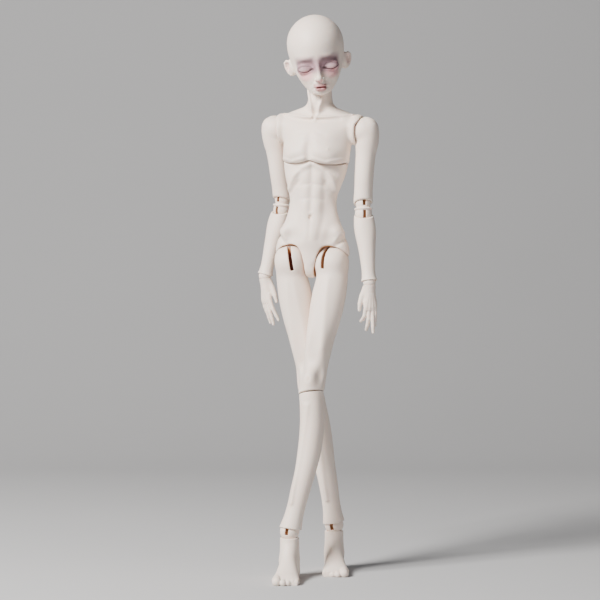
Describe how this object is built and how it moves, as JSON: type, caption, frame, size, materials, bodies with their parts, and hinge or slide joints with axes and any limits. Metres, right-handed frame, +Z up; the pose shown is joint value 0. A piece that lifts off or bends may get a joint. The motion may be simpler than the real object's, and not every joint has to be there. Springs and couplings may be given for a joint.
{
  "type": "ball jointed doll",
  "caption": "Unpainted resin ball jointed doll of male build, standing with crossed legs, head bowed, hands at its sides; strung with elastic cord on ball joints.",
  "frame": {"origin": "centre of the bounding box's base, on the floor between the feet", "axes": "+Z up along the doll's height, -Y the way the pelvis faces, +X towards the doll's own left"},
  "size_m": [0.1416, 0.148, 0.6106],
  "materials": {
    "resin": "matte cast resin",
    "elastic": "braided elastic cord",
    "steel": "bent wire",
    "magnet": "nickel plated"
  },
  "bodies": {
    "torso": {"torso": "resin", "torso_elastic_l": "elastic", "torso_elastic_r": "elastic"},
    "chest": {"chest": "resin", "spine_elastic": "elastic", "chest_elastic": "elastic"},
    "neck_hook": {"neck_hook": "steel"},
    "head": {"head": "resin", "head_cap": "resin", "head_magnet_l": "magnet", "head_magnet_r": "magnet", "cap_magnet_l": "magnet", "cap_magnet_r": "magnet"},
    "shoulder_l": {"shoulder_elastic_l": "elastic"},
    "upper_arm_l": {"upper_arm_l": "resin", "upper_arm_elastic_l": "elastic"},
    "elbow_l": {"elbow_l": "resin", "elbow_elastic_l": "elastic"},
    "forearm_l": {"forearm_l": "resin", "forearm_elastic_l": "elastic"},
    "wrist_l": {"wrist_ball_l": "resin", "wrist_hook_l": "steel"},
    "hand_l": {"hand_l": "resin"},
    "hip_l": {"hip_elastic_l": "elastic"},
    "thigh_l": {"thigh_l": "resin", "thigh_elastic_l": "elastic"},
    "knee_l": {"knee_l": "resin", "knee_elastic_l": "elastic"},
    "calf_l": {"calf_l": "resin", "calf_elastic_l": "elastic"},
    "ankle_l": {"ankle_ball_l": "resin", "ankle_hook_l": "steel"},
    "foot_l": {"foot_l": "resin"},
    "shoulder_r": {"shoulder_elastic_r": "elastic"},
    "upper_arm_r": {"upper_arm_r": "resin", "upper_arm_elastic_r": "elastic"},
    "elbow_r": {"elbow_r": "resin", "elbow_elastic_r": "elastic"},
    "forearm_r": {"forearm_r": "resin", "forearm_elastic_r": "elastic"},
    "wrist_r": {"wrist_ball_r": "resin", "wrist_hook_r": "steel"},
    "hand_r": {"hand_r": "resin"},
    "hip_r": {"hip_elastic_r": "elastic"},
    "thigh_r": {"thigh_r": "resin", "thigh_elastic_r": "elastic"},
    "knee_r": {"knee_r": "resin", "knee_elastic_r": "elastic"},
    "calf_r": {"calf_r": "resin", "calf_elastic_r": "elastic"},
    "ankle_r": {"ankle_ball_r": "resin", "ankle_hook_r": "steel"},
    "foot_r": {"foot_r": "resin"}
  },
  "joints": [
    {"name": "chest_lean", "type": "hinge", "parent": "torso", "child": "chest", "pos_m": [0.0004, 0.03535, 0.44889], "axis": [-0.9889, 0.1392, 0.0518], "range_deg": [-10, 6]},
    {"name": "neck_turn", "type": "hinge", "parent": "chest", "child": "neck_hook", "pos_m": [0.00515, 0.03436, 0.54227], "axis": [0.0523, 0, 0.9986], "range_deg": [-40, 40]},
    {"name": "head_nod", "type": "hinge", "parent": "neck_hook", "child": "head", "pos_m": [0.00515, 0.03436, 0.54227], "axis": [0.9723, 0.1743, 0.1558], "range_deg": [-10, 10]},
    {"name": "shoulder_swing_l", "type": "hinge", "parent": "chest", "child": "shoulder_l", "pos_m": [0.05526, 0.03397, 0.48357], "axis": [-0.9889, 0.1392, 0.0518], "range_deg": [-25, 90]},
    {"name": "shoulder_raise_l", "type": "hinge", "parent": "shoulder_l", "child": "upper_arm_l", "pos_m": [0.05526, 0.03397, 0.48357], "axis": [-0.139, -0.9903, 0.0073], "range_deg": [-3, 34]},
    {"name": "elbow_upper_l", "type": "hinge", "parent": "upper_arm_l", "child": "elbow_l", "pos_m": [0.05251, 0.03824, 0.40473], "axis": [-0.9398, -0.3415, 0.0143], "range_deg": [-7, 45]},
    {"name": "elbow_lower_l", "type": "hinge", "parent": "elbow_l", "child": "forearm_l", "pos_m": [0.05296, 0.03768, 0.39325], "axis": [-0.939, -0.3434, -0.0205], "range_deg": [-7, 48]},
    {"name": "wrist_turn_l", "type": "hinge", "parent": "forearm_l", "child": "wrist_l", "pos_m": [0.06161, 0.02623, 0.31862], "axis": [-0.1137, 0.1506, 0.982], "range_deg": [-60, 60]},
    {"name": "wrist_bend_l", "type": "hinge", "parent": "wrist_l", "child": "hand_l", "pos_m": [0.06161, 0.02623, 0.31862], "axis": [-0.8654, -0.4999, -0.0346], "range_deg": [-20, 32]},
    {"name": "hip_swing_l", "type": "hinge", "parent": "torso", "child": "hip_l", "pos_m": [0.01793, 0.03535, 0.33898], "axis": [-0.999, 0, 0.0454], "range_deg": [0, 55]},
    {"name": "hip_spread_l", "type": "hinge", "parent": "hip_l", "child": "thigh_l", "pos_m": [0.01793, 0.03535, 0.33898], "axis": [0, -1, 0], "range_deg": [0, 3]},
    {"name": "knee_upper_l", "type": "hinge", "parent": "thigh_l", "child": "knee_l", "pos_m": [0.00257, 0.01036, 0.20618], "axis": [0.9901, -0.1027, -0.0952], "range_deg": [-1, 14]},
    {"name": "knee_lower_l", "type": "hinge", "parent": "knee_l", "child": "calf_l", "pos_m": [0.00145, 0.00895, 0.19736], "axis": [0.9886, -0.1048, -0.1081], "range_deg": [-1, 15]},
    {"name": "ankle_bend_l", "type": "hinge", "parent": "calf_l", "child": "ankle_l", "pos_m": [-0.0187, -0.01049, 0.05], "axis": [-0.9903, -0.1392, 0], "range_deg": [-22, 22]},
    {"name": "ankle_turn_l", "type": "hinge", "parent": "ankle_l", "child": "foot_l", "pos_m": [-0.0187, -0.01049, 0.05], "axis": [0, 0, 1], "range_deg": [-20, 20]},
    {"name": "shoulder_swing_r", "type": "hinge", "parent": "chest", "child": "shoulder_r", "pos_m": [-0.04887, 0.04862, 0.48902], "axis": [-0.9889, 0.1392, 0.0518], "range_deg": [-25, 90]},
    {"name": "shoulder_raise_r", "type": "hinge", "parent": "shoulder_r", "child": "upper_arm_r", "pos_m": [-0.04887, 0.04862, 0.48902], "axis": [0.139, 0.9903, -0.0073], "range_deg": [0, 34]},
    {"name": "elbow_upper_r", "type": "hinge", "parent": "upper_arm_r", "child": "elbow_r", "pos_m": [-0.04426, 0.06234, 0.41136], "axis": [-0.9017, 0.4317, 0.0227], "range_deg": [-7, 42]},
    {"name": "elbow_lower_r", "type": "hinge", "parent": "elbow_r", "child": "forearm_r", "pos_m": [-0.04526, 0.06281, 0.39991], "axis": [-0.8977, 0.4298, 0.0967], "range_deg": [-7, 45]},
    {"name": "wrist_turn_r", "type": "hinge", "parent": "forearm_r", "child": "wrist_r", "pos_m": [-0.0628, 0.05586, 0.32629], "axis": [-0.2307, -0.0915, -0.9687], "range_deg": [-60, 60]},
    {"name": "wrist_bend_r", "type": "hinge", "parent": "wrist_r", "child": "hand_r", "pos_m": [-0.0628, 0.05586, 0.32629], "axis": [-0.8263, 0.5591, -0.0676], "range_deg": [-13, 32]},
    {"name": "hip_swing_r", "type": "hinge", "parent": "torso", "child": "hip_r", "pos_m": [-0.02702, 0.03535, 0.34102], "axis": [-0.999, 0, 0.0454], "range_deg": [-18, 0]},
    {"name": "hip_spread_r", "type": "hinge", "parent": "hip_r", "child": "thigh_r", "pos_m": [-0.02702, 0.03535, 0.34102], "axis": [0, 1, 0], "range_deg": [0, 3]},
    {"name": "knee_upper_r", "type": "hinge", "parent": "thigh_r", "child": "knee_r", "pos_m": [-0.00742, 0.04282, 0.20665], "axis": [0.9849, -0.1044, 0.1379], "range_deg": [-1, 52]},
    {"name": "knee_lower_r", "type": "hinge", "parent": "knee_r", "child": "calf_r", "pos_m": [-0.00611, 0.04347, 0.19777], "axis": [0.9849, -0.1044, 0.1379], "range_deg": [-1, 52]},
    {"name": "ankle_bend_r", "type": "hinge", "parent": "calf_r", "child": "ankle_r", "pos_m": [0.016, 0.05689, 0.05002], "axis": [-0.9703, -0.2419, 0], "range_deg": [-22, 22]},
    {"name": "ankle_turn_r", "type": "hinge", "parent": "ankle_r", "child": "foot_r", "pos_m": [0.016, 0.05689, 0.05002], "axis": [0, 0, -1], "range_deg": [-20, 20]}
  ]
}
